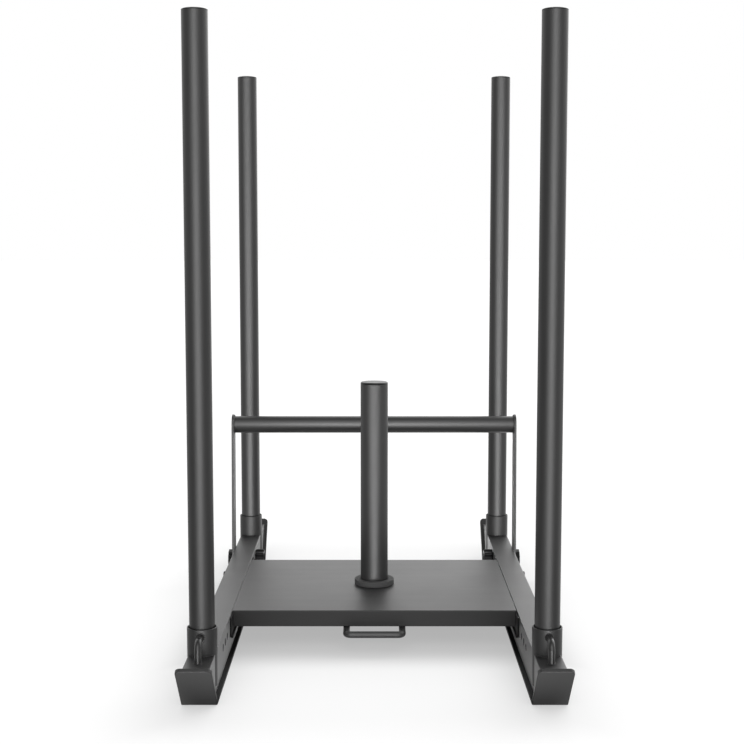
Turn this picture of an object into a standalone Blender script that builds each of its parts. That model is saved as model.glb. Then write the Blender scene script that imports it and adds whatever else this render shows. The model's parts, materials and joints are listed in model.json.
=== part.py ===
"""Weight sled: two rails on plastic runners, a bolted deck with a weight post,
four lift-out push posts in sockets, and a low push handle on two pivots.

Metres, +Z up.  The front of the sled points along -Y, its left side is -X.
The origin is on the floor, at the middle of the sled.
"""

import math

import bmesh
import bpy
from mathutils import Matrix, Vector

# ---------------------------------------------------------------- dimensions
GAP = 0.0003            # clearance between pieces that touch

RAIL_X = 0.2565         # rail centre line from the middle of the sled
RAIL_W = 0.040          # rectangular rail tube, width
RAIL_H = 0.060          # and height
RAIL_WALL = 0.002
RAIL_R = 0.0025         # outer corner radius of the tube
RUNNER_H = 0.005        # plastic runner under the rail
RUNNER_W = 0.053
RAIL_Z0 = RUNNER_H + GAP
RAIL_Z1 = RAIL_Z0 + RAIL_H
HOLE_Z = 0.043          # row of holes for the low handle
HOLE_YS = (0.250, 0.280, 0.310)
HOLE_D = 0.0125

SCREW_YS = (-0.330, 0.330)   # countersunk screws of the runners
SCREW_D = 0.0042
SCREW_HEAD = 0.0082

TIP_Y0 = 0.4505         # bottom edge of the upturned tip plates
TIP_Y1 = 0.5177         # top edge
TIP_Z1 = 0.0716
TIP_W = 0.053
TIP_T = 0.006
TIP_R = 0.008

POST_Y = 0.408          # push posts, fore and aft
POST_D = 0.038
POST_WALL = 0.002
POST_RIM = 1.0020       # open end of the post tube
POST_CAP_H = 0.0025
SOCKET_D = 0.045
SOCKET_WALL = 0.0018
SOCKET_Z0 = 0.017
SOCKET_Z1 = 0.1058
SOCKET_FLOOR = 0.003
SOCKET_DRAIN = 0.010

DECK_W = 0.471          # deck plate between the rails
DECK_L = 0.356
DECK_T = 0.003
DECK_TOP = RAIL_Z1
DECK_LIP = 0.0271
DECK_LIP_W = 0.4672
DECK_R = 0.0036
BRACKET_L = 0.424       # angle brackets that carry the deck
BRACKET_Z0 = 0.029
BRACKET_T = 0.0021
BRACKET_FOOT = 0.005
DECK_BOLT_Y = 0.125
DECK_BOLT_Z = 0.046
RIB_Y = 0.062           # flat ribs under the deck
RIB_T = 0.005
RIB_H = 0.020

WPOST_D = 0.0483        # weight post
WPOST_WALL = 0.003
WPOST_RIM = 0.4245
WPOST_CAP_H = 0.0032
COLLAR_D = 0.070
COLLAR_H = 0.0095

LOOP_D = 0.011          # pull loop under the front lip
LOOP_W = 0.0924
LOOP_Y = -0.205
LOOP_Z = 0.0322
LOOP_BEND = 0.008

TOW_D = 0.010           # tow loops on the sockets
TOW_Y = 0.4605
TOW_Z = 0.0952
TOW_BEND = 0.012

PIVOT_Y = 0.280         # low handle
PIVOT_Z = HOLE_Z
BAR_Y = 0.292
BAR_Z = 0.3117
BAR_D = 0.0330
BAR_WALL = 0.002
ARM_T = 0.004
ARM_X0 = 0.2773         # inner face of the arm
ARM_R_TOP = 0.020
ARM_R_BOT = 0.022
KNOB_D = 0.038
KNOB_L = 0.0175
HEAD_L = 0.008
STUD_D = 0.012

# ------------------------------------------------------------ clean the file
for old in list(bpy.data.objects):
    bpy.data.objects.remove(old, do_unlink=True)

parts = bpy.data.collections.new("weight_sled")
cutters = bpy.data.collections.new("cutters")
bpy.context.scene.collection.children.link(parts)
bpy.context.scene.collection.children.link(cutters)


# ------------------------------------------------------------------ materials
def material(name, colour, rough, metal):
    mat = bpy.data.materials.new(name)
    mat.use_nodes = True
    shader = mat.node_tree.nodes["Principled BSDF"]
    shader.inputs["Base Color"].default_value = (*colour, 1.0)
    shader.inputs["Roughness"].default_value = rough
    shader.inputs["Metallic"].default_value = metal
    mat.diffuse_color = (*colour, 1.0)
    return mat


FINISH = {
    "powder_coat": ((0.042, 0.042, 0.043), 0.50, 0.25),
    "black_plastic": ((0.010, 0.010, 0.011), 0.45, 0.0),
    "runner_plastic": ((0.014, 0.014, 0.014), 0.55, 0.0),
    "black_steel": ((0.018, 0.018, 0.019), 0.38, 0.7),
    "zinc_steel": ((0.42, 0.43, 0.44), 0.35, 0.9),
}


def finish(obj, kind):
    """Give a piece its own material."""
    obj.data.materials.clear()
    obj.data.materials.append(material(obj.name + "_" + kind, *FINISH[kind]))
    return obj


# -------------------------------------------------------------------- helpers
def place(name, data, matrix, home=parts):
    obj = bpy.data.objects.new(name, data)
    home.objects.link(obj)
    obj.matrix_world = matrix
    if home is cutters:
        obj.hide_render = True
        obj.display_type = "WIRE"
    return obj


def at(x, y, z):
    return Matrix.Translation((x, y, z))


def frame_of(ex, ey, ez, origin):
    """Matrix whose local X, Y, Z point along ex, ey, ez."""
    m = Matrix((ex, ey, ez)).transposed().to_4x4()
    m.translation = Vector(origin)
    return m


IN_YZ = Matrix(((0, 0, 1), (1, 0, 0), (0, 1, 0))).to_4x4()     # local XY lies in world YZ
IN_XZ = Matrix(((1, 0, 0), (0, 0, -1), (0, 1, 0))).to_4x4()    # local XY lies in world XZ
ALONG_X = Matrix(((0, 0, 1), (0, 1, 0), (-1, 0, 0))).to_4x4()  # local Z points along world X


def smooth(obj, angle=32.0):
    obj.data.shade_smooth()
    obj.data.set_sharp_from_angle(angle=math.radians(angle))
    return obj


def mesh_box(size, bevel=0.0, along=None, segments=2):
    """Box primitive about its centre; edges parallel to axis `along` can be rounded."""
    bm = bmesh.new()
    bmesh.ops.create_cube(bm, size=1.0)
    bmesh.ops.scale(bm, vec=size, verts=bm.verts)
    if bevel:
        edges = [e for e in bm.edges
                 if along is None or abs((e.verts[0].co - e.verts[1].co).normalized()[along]) > 0.9]
        bmesh.ops.bevel(bm, geom=edges, offset=bevel, segments=segments, profile=0.5, affect="EDGES")
    me = bpy.data.meshes.new("box")
    bm.to_mesh(me)
    bm.free()
    return me


def mesh_prism(radius, depth, sides, radius2=None):
    """Cylinder, cone or hexagon primitive about its centre, axis local Z."""
    bm = bmesh.new()
    bmesh.ops.create_cone(bm, cap_ends=True, cap_tris=False, segments=sides,
                          radius1=radius, radius2=radius if radius2 is None else radius2, depth=depth)
    me = bpy.data.meshes.new("prism")
    bm.to_mesh(me)
    bm.free()
    return me


def turned(name, profile, matrix, kind, closed=False, steps=24, home=parts):
    """Turned piece: a profile of (radius, height) points, outer side from top to bottom, and a Screw."""
    me = bpy.data.meshes.new(name)
    n = len(profile)
    edges = [(i, i + 1) for i in range(n - 1)] + ([(n - 1, 0)] if closed else [])
    me.from_pydata([(r, 0.0, h) for r, h in profile], edges, [])
    obj = place(name, me, matrix, home)
    screw = obj.modifiers.new("turn", "SCREW")
    screw.axis = "Z"
    screw.angle = math.tau
    screw.steps = screw.render_steps = steps
    screw.use_merge_vertices = True
    screw.merge_threshold = 0.00001
    screw.use_smooth_shade = True
    return finish(obj, kind) if home is parts else obj


def to_mesh(obj):
    """Replace a curve, or an object with modifiers, by its evaluated mesh with welded caps."""
    bpy.context.view_layer.update()
    deps = bpy.context.evaluated_depsgraph_get()
    me = bpy.data.meshes.new_from_object(obj.evaluated_get(deps))
    bm = bmesh.new()
    bm.from_mesh(me)
    bmesh.ops.remove_doubles(bm, verts=bm.verts, dist=0.00002)
    bm.to_mesh(me)
    bm.free()
    name, matrix, home = obj.name, obj.matrix_world.copy(), obj.users_collection[0]
    mats = list(obj.data.materials)
    bpy.data.objects.remove(obj, do_unlink=True)
    me.name = name
    me.materials.clear()
    for mat in mats:
        me.materials.append(mat)
    return place(name, me, matrix, home)


def flat(name, outlines, thickness, matrix, kind=None, home=parts):
    """Flat piece from closed 2D outlines, centred on its own mid plane."""
    cu = bpy.data.curves.new(name, "CURVE")
    cu.dimensions = "2D"
    cu.fill_mode = "BOTH"
    cu.extrude = thickness / 2
    for outline in outlines:
        sp = cu.splines.new("POLY")
        sp.points.add(len(outline) - 1)
        for p, (x, y) in zip(sp.points, outline):
            p.co = (x, y, 0.0, 1.0)
        sp.use_cyclic_u = True
    obj = place(name, cu, matrix, home)
    if kind:
        finish(obj, kind)
    return to_mesh(obj)


def rod(name, points, diameter, kind, matrix=None):
    """Round rod along a polyline, with filled ends."""
    cu = bpy.data.curves.new(name, "CURVE")
    cu.dimensions = "3D"
    cu.bevel_depth = diameter / 2
    cu.bevel_resolution = 3
    cu.use_fill_caps = True
    sp = cu.splines.new("POLY")
    sp.points.add(len(points) - 1)
    for p, co in zip(sp.points, points):
        p.co = (*co, 1.0)
    obj = place(name, cu, matrix or Matrix())
    finish(obj, kind)
    return smooth(to_mesh(obj), 50)


def rounded_path(corners, radius, steps=5):
    """Polyline through 3D corners, with each inner corner replaced by an arc."""
    pts = [Vector(corners[0])]
    for a, b, c in zip(corners, corners[1:], corners[2:]):
        a, b, c = Vector(a), Vector(b), Vector(c)
        u, v = (a - b).normalized(), (c - b).normalized()
        half = u.angle(v) / 2
        centre = b + (u + v).normalized() * (radius / math.sin(half))
        p0 = b + u * (radius / math.tan(half)) - centre
        p1 = b + v * (radius / math.tan(half)) - centre
        turn = p0.angle(p1)
        for i in range(steps + 1):
            t = i / steps
            pts.append(centre + (p0 * math.sin((1 - t) * turn) + p1 * math.sin(t * turn)) / math.sin(turn))
    pts.append(Vector(corners[-1]))
    return pts


def arc(cx, cy, r, a0, a1, steps):
    """Points on an arc, in degrees, ends included."""
    return [(cx + r * math.cos(math.radians(a0 + (a1 - a0) * i / steps)),
             cy + r * math.sin(math.radians(a0 + (a1 - a0) * i / steps))) for i in range(steps + 1)]


def circle(cx, cy, r, steps):
    return arc(cx, cy, r, 0, 360, steps)[:-1]


def boolean(obj, other, how="DIFFERENCE"):
    mod = obj.modifiers.new(how.lower(), "BOOLEAN")
    mod.operation = how
    mod.solver = "EXACT"
    mod.object = other
    return obj


def cut_cylinder(obj, name, diameter, depth, matrix, sides=20):
    return boolean(obj, place(name, mesh_prism(diameter / 2, depth, sides), matrix, cutters))


def join(obj, mesh, matrix, name):
    """Union another primitive into a piece."""
    return boolean(obj, place(name, mesh, matrix, cutters), "UNION")


def empty(name, loc):
    obj = bpy.data.objects.new(name, None)
    obj.empty_display_size = 0.03
    parts.objects.link(obj)
    obj.location = loc
    return obj


def hang(child, holder):
    """Parent a piece to an empty on its joint's axis, keeping its place."""
    bpy.context.view_layer.update()
    world = child.matrix_world.copy()
    child.parent = holder
    child.matrix_parent_inverse = holder.matrix_world.inverted()
    child.matrix_world = world


SIDES = (("left", -1), ("right", 1))
ENDS = (("front", -1), ("rear", 1))

# the tip plate's direction up its slope, and its outward normal, at the front end
tip_run = Vector((0.0, -(TIP_Y1 - TIP_Y0), TIP_Z1))
TIP_LEN = tip_run.length
TIP_UP = tip_run.normalized()
TIP_OUT = Vector((1, 0, 0)).cross(TIP_UP)


def tip_frame(x, end, offset):
    """Frame on the slope, `offset` inwards from the plate's outer face; local Y up the slope."""
    up = Vector((0, -end * TIP_UP.y, TIP_UP.z))
    out = Vector((0, -end * TIP_OUT.y, TIP_OUT.z))
    foot = Vector((x, end * TIP_Y0, 0.0)) - out * offset
    return frame_of(up.cross(out), up, out, foot), out


# ----------------------------------------------------------------- the rails
def make_rail(side, s):
    x = s * RAIL_X
    mid = (RAIL_Z0 + RAIL_Z1) / 2
    rail = place(side + "_rail", mesh_box((RAIL_W, 2 * TIP_Y1, RAIL_H), RAIL_R, along=1), at(x, 0, mid))
    finish(rail, "powder_coat")
    hollow = mesh_box((RAIL_W - 2 * RAIL_WALL, 2 * TIP_Y1 + 0.05, RAIL_H - 2 * RAIL_WALL))
    boolean(rail, place(side + "_rail_hollow", hollow, at(x, 0, mid), cutters))
    for end_name, e in ENDS:
        m, out = tip_frame(x, e, TIP_T + GAP)
        wedge = mesh_box((0.1, 0.3, 0.2))
        boolean(rail, place(side + "_rail_mitre_" + end_name, wedge,
                            m @ at(0, TIP_LEN / 2, 0.1), cutters))
        bore = SOCKET_D + 2 * GAP
        z0 = SOCKET_Z0 - GAP
        cut_cylinder(rail, f"{side}_rail_socket_cut_{end_name}", bore, 0.08, at(x, e * POST_Y, z0 + 0.04), 24)
        for i, y in enumerate(HOLE_YS):
            cut_cylinder(rail, f"{side}_rail_hole_{end_name}_{i}", HOLE_D, 0.08,
                         at(x, e * y, HOLE_Z) @ ALONG_X, 16)
        cut_cylinder(rail, f"{side}_rail_deck_hole_{end_name}", 0.0108, 0.08,
                     at(x, e * DECK_BOLT_Y, DECK_BOLT_Z) @ ALONG_X, 16)
    for i, y in enumerate(SCREW_YS):
        cut_cylinder(rail, f"{side}_rail_screw_hole_{i}", SCREW_D + 2 * GAP, 0.02, at(x, y, RAIL_Z0), 12)
    return rail


def make_runner(side, s):
    """Plastic strip under the rail; its ends follow the tip plates' square-cut bottom ends."""
    slope = TIP_T * abs(TIP_OUT.z)                # height of the plate's bottom end face
    run = TIP_T * abs(TIP_OUT.y)
    y0 = TIP_Y0 - 0.0006
    h = RUNNER_H
    outline = [(-y0, 0.0), (y0, 0.0), (y0 - run, slope), (y0 - run, h), (-(y0 - run), h), (-(y0 - run), slope)]
    runner = flat(side + "_runner", [outline], RUNNER_W, at(s * RAIL_X, 0, 0) @ IN_YZ, "runner_plastic")
    for i, y in enumerate(SCREW_YS):
        sink = turned(f"{side}_runner_sink_{i}",
                      [(0.0, 0.02), (SCREW_D / 2 + GAP, 0.02), (SCREW_D / 2 + GAP, 0.0030),
                       (SCREW_HEAD / 2 + GAP, 0.0008), (SCREW_HEAD / 2 + GAP, -0.005), (0.0, -0.005)],
                      at(s * RAIL_X, y, 0), None, steps=16, home=cutters)
        boolean(runner, sink)
    return runner


def make_tip(side, s, end_name, e):
    m, _ = tip_frame(s * RAIL_X, e, TIP_T / 2)
    w = TIP_W / 2
    outline = [(-w, 0.0), (w, 0.0)]
    outline += arc(w - TIP_R, TIP_LEN - TIP_R, TIP_R, 0, 90, 6)
    outline += arc(-w + TIP_R, TIP_LEN - TIP_R, TIP_R, 90, 180, 6)
    return flat(f"{end_name}_{side}_tip_plate", [outline], TIP_T, m, "powder_coat")


def make_socket(side, s, end_name, e):
    r, ri, c = SOCKET_D / 2, SOCKET_D / 2 - SOCKET_WALL, 0.0006
    floor, drain = SOCKET_Z0 + SOCKET_FLOOR, SOCKET_DRAIN / 2
    prof = [(r - c, SOCKET_Z1), (r, SOCKET_Z1 - c), (r, SOCKET_Z0), (drain, SOCKET_Z0), (drain, floor),
            (ri, floor), (ri, SOCKET_Z1 - c), (ri + c, SOCKET_Z1)]
    return turned(f"{end_name}_{side}_socket", prof, at(s * RAIL_X, e * POST_Y, 0), "powder_coat", closed=True)


def make_tow_loop(side, s, end_name, e):
    x = s * RAIL_X
    y0 = POST_Y + SOCKET_D / 2 + GAP
    path = rounded_path([(x, e * y0, TOW_Z), (x, e * TOW_Y, TOW_Z), (x, e * TOW_Y, RAIL_Z1 + GAP)], TOW_BEND, 7)
    return rod(f"{end_name}_{side}_tow_loop", path, TOW_D, "powder_coat")


# ------------------------------------------------------- push posts and plugs
def make_post(side, s, end_name, e):
    x, y = s * RAIL_X, e * POST_Y
    r, ri = POST_D / 2, POST_D / 2 - POST_WALL
    z0 = SOCKET_Z0 + SOCKET_FLOOR + GAP           # the foot plug stands on the socket's floor
    foot_h = 0.0025
    base = f"{end_name}_{side}_"
    holder = empty(base + "post_axis", (x, y, z0))
    tube = turned(base + "post", [(r, POST_RIM), (r, z0 + foot_h + GAP), (ri, z0 + foot_h + GAP), (ri, POST_RIM)],
                  at(x, y, 0), "powder_coat", closed=True)
    top = POST_RIM + GAP
    # domed head, then a hollow stem in the tube
    head = [(0.0, top + POST_CAP_H), (r * 0.55, top + POST_CAP_H * 0.93), (r * 0.85, top + POST_CAP_H * 0.62),
            (r, top + POST_CAP_H * 0.18), (r, top)]
    stem = [(ri - 2 * GAP, top), (ri - 2 * GAP, top - 0.016), (ri - 0.003, top - 0.016), (ri - 0.003, top - 0.002),
            (0.0, top - 0.002)]
    cap = turned(base + "post_cap", head + stem, at(x, y, 0), "black_plastic", steps=24)
    z1 = z0 + foot_h
    foot = turned(base + "post_foot",
                  [(0.0, z1 + 0.002), (ri - 0.003, z1 + 0.002), (ri - 0.003, z1 + 0.016), (ri - 2 * GAP, z1 + 0.016),
                   (ri - 2 * GAP, z1), (r, z1), (r, z0 + 0.0008), (r - 0.0008, z0), (0.0, z0)],
                  at(x, y, 0), "black_plastic", steps=16)
    for piece in (tube, cap, foot):
        hang(piece, holder)


# ----------------------------------------------------------------- the deck
def make_deck():
    """Folded sheet: top, front lip and rear lip in one profile."""
    half, low, t, r = DECK_L / 2, DECK_TOP - DECK_LIP, DECK_T, DECK_R
    outer = [(-half, low)] + arc(-half + r, DECK_TOP - r, r, 180, 90, 4)
    outer += arc(half - r, DECK_TOP - r, r, 90, 0, 4) + [(half, low)]
    inner = [(half - t, low), (half - t, DECK_TOP - t), (-half + t, DECK_TOP - t), (-half + t, low)]
    deck = flat("deck_plate", [outer + inner], DECK_W, IN_YZ, "powder_coat")
    # the lips stop short of the side brackets
    for side, s in SIDES:
        for end_name, e in ENDS:
            w = 0.01
            notch = mesh_box((w, 0.012, 0.04))
            x = s * (DECK_LIP_W / 2 + w / 2)
            y = e * (half - t / 2)
            boolean(deck, place(f"deck_notch_{end_name}_{side}", notch, at(x, y, DECK_TOP - t - 0.02), cutters))
    cut_cylinder(deck, "deck_post_bolt_cut", 0.013, 0.02, at(0, 0, DECK_TOP), 20)
    return deck


def make_bracket(side, s):
    """Angle along the rail: upright leg against the rail, foot turned inwards."""
    face = RAIL_X - RAIL_W / 2 - GAP
    top = DECK_TOP - DECK_T - 2 * GAP
    a, b, t = face, face - BRACKET_FOOT, BRACKET_T
    outline = [(a, top), (a - t, top), (a - t, BRACKET_Z0 + 0.003), (b, BRACKET_Z0 + 0.003), (b, BRACKET_Z0), (a, BRACKET_Z0)]
    outline = [(s * x, z) for x, z in outline]
    br = flat(side + "_deck_bracket", [outline], BRACKET_L, IN_XZ, "powder_coat")
    for end_name, e in ENDS:
        cut_cylinder(br, f"{side}_bracket_hole_{end_name}", 0.0108, 0.02,
                     at(s * (face - t / 2), e * DECK_BOLT_Y, DECK_BOLT_Z) @ ALONG_X, 16)
    return br


def make_rib(end_name, e):
    top = DECK_TOP - DECK_T - GAP
    length = 2 * (RAIL_X - RAIL_W / 2 - BRACKET_T - 0.002)
    me = mesh_box((length, RIB_T, RIB_H))
    rib = place(end_name + "_deck_rib", me, at(0, e * RIB_Y, top - RIB_H / 2))
    return finish(rib, "powder_coat")


def copy_of(name, kind, me, matrix):
    """One more copy of a repeated piece, with its own material."""
    return smooth(finish(place(name, me.copy(), matrix), kind), 30)


def hex_bolt(head_r, head_h, shank_r, length):
    """Hex bolt along local +Z from under its head: the head lies at -Z."""
    body = place("bolt_shape", mesh_prism(shank_r, length + head_h / 2, 16), at(0, 0, length / 2 - head_h / 4), cutters)
    join(body, mesh_prism(head_r, head_h, 6), at(0, 0, -head_h / 2), "bolt_head_shape")
    made = to_mesh(body)
    me = made.data
    me.transform(made.matrix_world)
    bpy.data.objects.remove(made, do_unlink=True)
    return me


def hex_nut(corner_r, height, bore_r):
    """Hex nut about its centre, axis local Z."""
    body = flat("nut_shape", [circle(0, 0, corner_r, 6), circle(0, 0, bore_r, 16)], height, Matrix(), None, cutters)
    me = body.data
    bpy.data.objects.remove(body, do_unlink=True)
    return me


def make_deck_fasteners():
    outer = RAIL_X + RAIL_W / 2 + GAP
    inner = RAIL_X - RAIL_W / 2 - GAP - BRACKET_T - GAP
    bolt = hex_bolt(0.0098, 0.0064, 0.005, outer - inner + 0.011)
    nut = hex_nut(0.0098, 0.008, 0.0053)
    for side, s in SIDES:
        for end_name, e in ENDS:
            # the bolt runs inwards from the rail's outer face
            turn = frame_of(Vector((0, 1, 0)), Vector((0, 0, -s)), Vector((-s, 0, 0)),
                            (s * outer, e * DECK_BOLT_Y, DECK_BOLT_Z))
            copy_of(f"{end_name}_{side}_deck_bolt", "black_steel", bolt, turn)
            copy_of(f"{end_name}_{side}_deck_nut", "black_steel", nut,
                    at(s * (inner - 0.004), e * DECK_BOLT_Y, DECK_BOLT_Z) @ ALONG_X)


def make_pull_loop():
    w, top = LOOP_W / 2, DECK_TOP - DECK_T - GAP
    y0 = -DECK_L / 2 + 0.011
    path = rounded_path([(-w, y0, top), (-w, y0, LOOP_Z), (-w, LOOP_Y, LOOP_Z), (w, LOOP_Y, LOOP_Z),
                         (w, y0, LOOP_Z), (w, y0, top)], LOOP_BEND, 5)
    return rod("deck_pull_loop", path, LOOP_D, "powder_coat")


# ------------------------------------------------------------- weight post
def make_weight_post():
    z0 = DECK_TOP + GAP
    r, ri = WPOST_D / 2, WPOST_D / 2 - WPOST_WALL
    turned("weight_post", [(r, WPOST_RIM), (r, z0), (ri, z0), (ri, WPOST_RIM)], Matrix(), "powder_coat",
           closed=True, steps=32)
    top = WPOST_RIM + GAP
    e = 0.0012
    turned("weight_post_cap",
           [(0.0, top + WPOST_CAP_H), (r - e, top + WPOST_CAP_H), (r - 0.3 * e, top + WPOST_CAP_H - 0.3 * e),
            (r, top + WPOST_CAP_H - e), (r, top), (ri - 2 * GAP, top), (ri - 2 * GAP, top - 0.018),
            (ri - 0.003, top - 0.018), (ri - 0.003, top - 0.002), (0.0, top - 0.002)],
           Matrix(), "black_plastic", steps=32)
    R, bore, c = COLLAR_D / 2, r + 0.0007, 0.001
    turned("weight_post_collar",
           [(R - c, z0 + COLLAR_H), (R, z0 + COLLAR_H - c), (R, z0 + 0.0005), (R - 0.0005, z0), (bore, z0),
            (bore, z0 + COLLAR_H)], Matrix(), "powder_coat", closed=True, steps=32)
    # threaded disc in the foot of the tube, with its bolt and washer from below
    turned("weight_post_foot",
           [(ri - GAP, z0 + 0.010), (ri - GAP, z0), (0.0063, z0), (0.0063, z0 + 0.010)],
           Matrix(), "zinc_steel", closed=True, steps=16)
    under = DECK_TOP - DECK_T - GAP
    turned("weight_post_washer",
           [(0.0185, under), (0.0185, under - 0.003), (0.0065, under - 0.003), (0.0065, under)],
           Matrix(), "zinc_steel", closed=True, steps=16)
    seat = under - 0.003 - GAP
    bolt = hex_bolt(0.0109, 0.0075, 0.006, z0 + 0.014 - seat)
    obj = place("weight_post_bolt", bolt, at(0, 0, seat))
    smooth(finish(obj, "zinc_steel"), 30)


# --------------------------------------------------------------- low handle
def lobed(r, depth, lobes, steps):
    """Outline of a grip with shallow finger lobes."""
    return [((r - depth * (0.5 - 0.5 * math.cos(lobes * a))) * math.cos(a),
             (r - depth * (0.5 - 0.5 * math.cos(lobes * a))) * math.sin(a))
            for a in (math.tau * i / steps for i in range(steps))]


def make_handle():
    holder = empty("low_handle_pivot", (0.0, PIVOT_Y, PIVOT_Z))
    r, ri = BAR_D / 2, BAR_D / 2 - BAR_WALL
    half = ARM_X0 - GAP
    bar = turned("handle_bar", [(r, half), (r, -half), (ri, -half), (ri, half)], at(0, BAR_Y, BAR_Z) @ ALONG_X,
                 "powder_coat", closed=True, steps=28)
    hang(bar, holder)
    # arm outline: two round ends of unlike radius, joined by their outer tangents
    dy, dz = BAR_Y - PIVOT_Y, BAR_Z - PIVOT_Z
    dist = math.hypot(dy, dz)
    lean = math.degrees(math.atan2(dz, dy))
    spread = math.degrees(math.acos((ARM_R_BOT - ARM_R_TOP) / dist))
    outline = arc(PIVOT_Y, PIVOT_Z, ARM_R_BOT, lean + spread, lean + 360 - spread, 14)
    outline += arc(BAR_Y, BAR_Z, ARM_R_TOP, lean - spread, lean + spread, 12)
    for side, s in SIDES:
        arm = flat(side + "_handle_arm", [outline, circle(PIVOT_Y, PIVOT_Z, STUD_D / 2 + 0.0004, 20)], ARM_T,
                   at(s * (ARM_X0 + ARM_T / 2), 0, 0) @ IN_YZ, "powder_coat")
        hang(arm, holder)


def make_pivot(side, s):
    """Clamp bolt with a shallow round grip outside, and a lobed knob on its end inside."""
    outer = ARM_X0 + ARM_T + GAP
    axis = frame_of(Vector((0, s, 0)), Vector((0, 0, 1)), Vector((s, 0, 0)), (s * outer, PIVOT_Y, PIVOT_Z))
    head = flat(side + "_pivot_bolt", [lobed(KNOB_D / 2, 0.0012, 12, 36)], HEAD_L, axis @ at(0, 0, HEAD_L / 2),
                "black_plastic")
    inner = RAIL_X - RAIL_W / 2
    stud = outer + 0.003 - (inner - 0.0135)
    join(head, mesh_prism(STUD_D / 2, stud, 20), axis @ at(0, 0, 0.003 - stud / 2), side + "_stud_shape")
    smooth(to_mesh(head), 40)
    # the knob's origin is on the pivot axis, at the rail's inner face
    face = inner - GAP
    kaxis = frame_of(Vector((0, -s, 0)), Vector((0, 0, 1)), Vector((-s, 0, 0)), (s * face, PIVOT_Y, PIVOT_Z))
    knob = flat(side + "_pivot_knob", [lobed(KNOB_D / 2, 0.0022, 8, 40)], KNOB_L, kaxis @ at(0, 0, KNOB_L / 2),
                "black_plastic")
    cut_cylinder(knob, side + "_knob_bore", STUD_D + 0.0006, 0.028, kaxis, 20)
    knob = smooth(to_mesh(knob), 40)
    shift = kaxis.inverted() @ knob.matrix_world
    knob.data.transform(shift)
    knob.matrix_world = kaxis
    return knob


def make_runner_screws():
    """Countersunk screws that hold the runners to the rails, heads sunk in the runners."""
    r = SCREW_D / 2
    shape = turned("screw_shape",
                   [(0.0, 0.0120), (r * 0.6, 0.0118), (r, 0.0105), (r, 0.0031), (SCREW_HEAD / 2, 0.0011),
                    (SCREW_HEAD / 2, 0.0008), (0.0, 0.0008)], Matrix(), None, steps=12, home=cutters)
    me = to_mesh(shape).data
    for side, s in SIDES:
        for end_name, y in zip(("front", "rear"), SCREW_YS):
            copy_of(f"{end_name}_{side}_runner_screw", "black_steel", me, at(s * RAIL_X, y, 0.0))


# --------------------------------------------------------------- build it all
for side, s in SIDES:
    make_rail(side, s)
    make_runner(side, s)
    make_bracket(side, s)
    make_pivot(side, s)
    for end_name, e in ENDS:
        make_tip(side, s, end_name, e)
        make_socket(side, s, end_name, e)
        make_tow_loop(side, s, end_name, e)
        make_post(side, s, end_name, e)
make_deck()
for end_name, e in ENDS:
    make_rib(end_name, e)
make_deck_fasteners()
make_pull_loop()
make_weight_post()
make_handle()
make_runner_screws()
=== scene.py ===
import json
import math

import bmesh
import bpy
from mathutils import Matrix, Vector

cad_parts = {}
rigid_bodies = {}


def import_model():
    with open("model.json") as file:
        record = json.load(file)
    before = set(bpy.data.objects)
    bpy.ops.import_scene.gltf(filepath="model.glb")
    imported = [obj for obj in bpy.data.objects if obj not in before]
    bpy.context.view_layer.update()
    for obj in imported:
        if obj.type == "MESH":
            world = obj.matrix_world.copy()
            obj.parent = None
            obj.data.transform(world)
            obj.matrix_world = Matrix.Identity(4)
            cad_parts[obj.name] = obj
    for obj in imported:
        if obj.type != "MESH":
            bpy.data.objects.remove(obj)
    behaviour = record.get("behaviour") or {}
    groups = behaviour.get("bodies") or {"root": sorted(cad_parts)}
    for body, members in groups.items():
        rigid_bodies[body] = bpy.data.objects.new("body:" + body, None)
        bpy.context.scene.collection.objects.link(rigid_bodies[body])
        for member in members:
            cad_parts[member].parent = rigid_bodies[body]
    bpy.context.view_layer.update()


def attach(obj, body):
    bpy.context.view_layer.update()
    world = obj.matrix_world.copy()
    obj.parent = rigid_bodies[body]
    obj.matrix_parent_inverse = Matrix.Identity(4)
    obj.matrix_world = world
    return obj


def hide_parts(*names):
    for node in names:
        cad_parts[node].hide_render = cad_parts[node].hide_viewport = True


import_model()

# Weight sled. Metres, +Z up, the front of the sled points along -Y, left is -X.
TAU = math.tau
SIDES = (("left", -1), ("right", 1))
ENDS = (("front", -1), ("rear", 1))
GAP = 0.0003

RAIL_X, RAIL_W, RAIL_H, RAIL_WALL, RAIL_R = 0.2565, 0.040, 0.060, 0.002, 0.0016
RUNNER_H, RUNNER_W = 0.005, 0.053
RAIL_Z0 = RUNNER_H + GAP
RAIL_Z1 = RAIL_Z0 + RAIL_H
HOLE_Z, HOLE_YS, HOLE_D = 0.043, (0.250, 0.280, 0.310), 0.0125
SCREW_YS, SCREW_D, SCREW_HEAD = (-0.330, 0.330), 0.0042, 0.0082
TIP_Y0, TIP_Y1, TIP_Z1, TIP_W, TIP_T, TIP_R = 0.4505, 0.5177, 0.0716, 0.053, 0.006, 0.008
POST_Y, POST_D, POST_WALL, POST_RIM, POST_CAP_H = 0.408, 0.038, 0.002, 1.0020, 0.0025
SOCKET_D, SOCKET_WALL, SOCKET_Z0, SOCKET_Z1 = 0.045, 0.0018, 0.017, 0.1058
SOCKET_FLOOR, SOCKET_DRAIN = 0.003, 0.010
DECK_W, DECK_L, DECK_T, DECK_LIP, DECK_LIP_W, DECK_R = 0.471, 0.356, 0.003, 0.0271, 0.4672, 0.0036
DECK_TOP = RAIL_Z1
BRACKET_L, BRACKET_Z0, BRACKET_T, BRACKET_FOOT = 0.424, 0.029, 0.0021, 0.005
DECK_BOLT_Y, DECK_BOLT_Z = 0.125, 0.046
RIB_Y, RIB_T, RIB_H = 0.062, 0.005, 0.020
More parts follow.
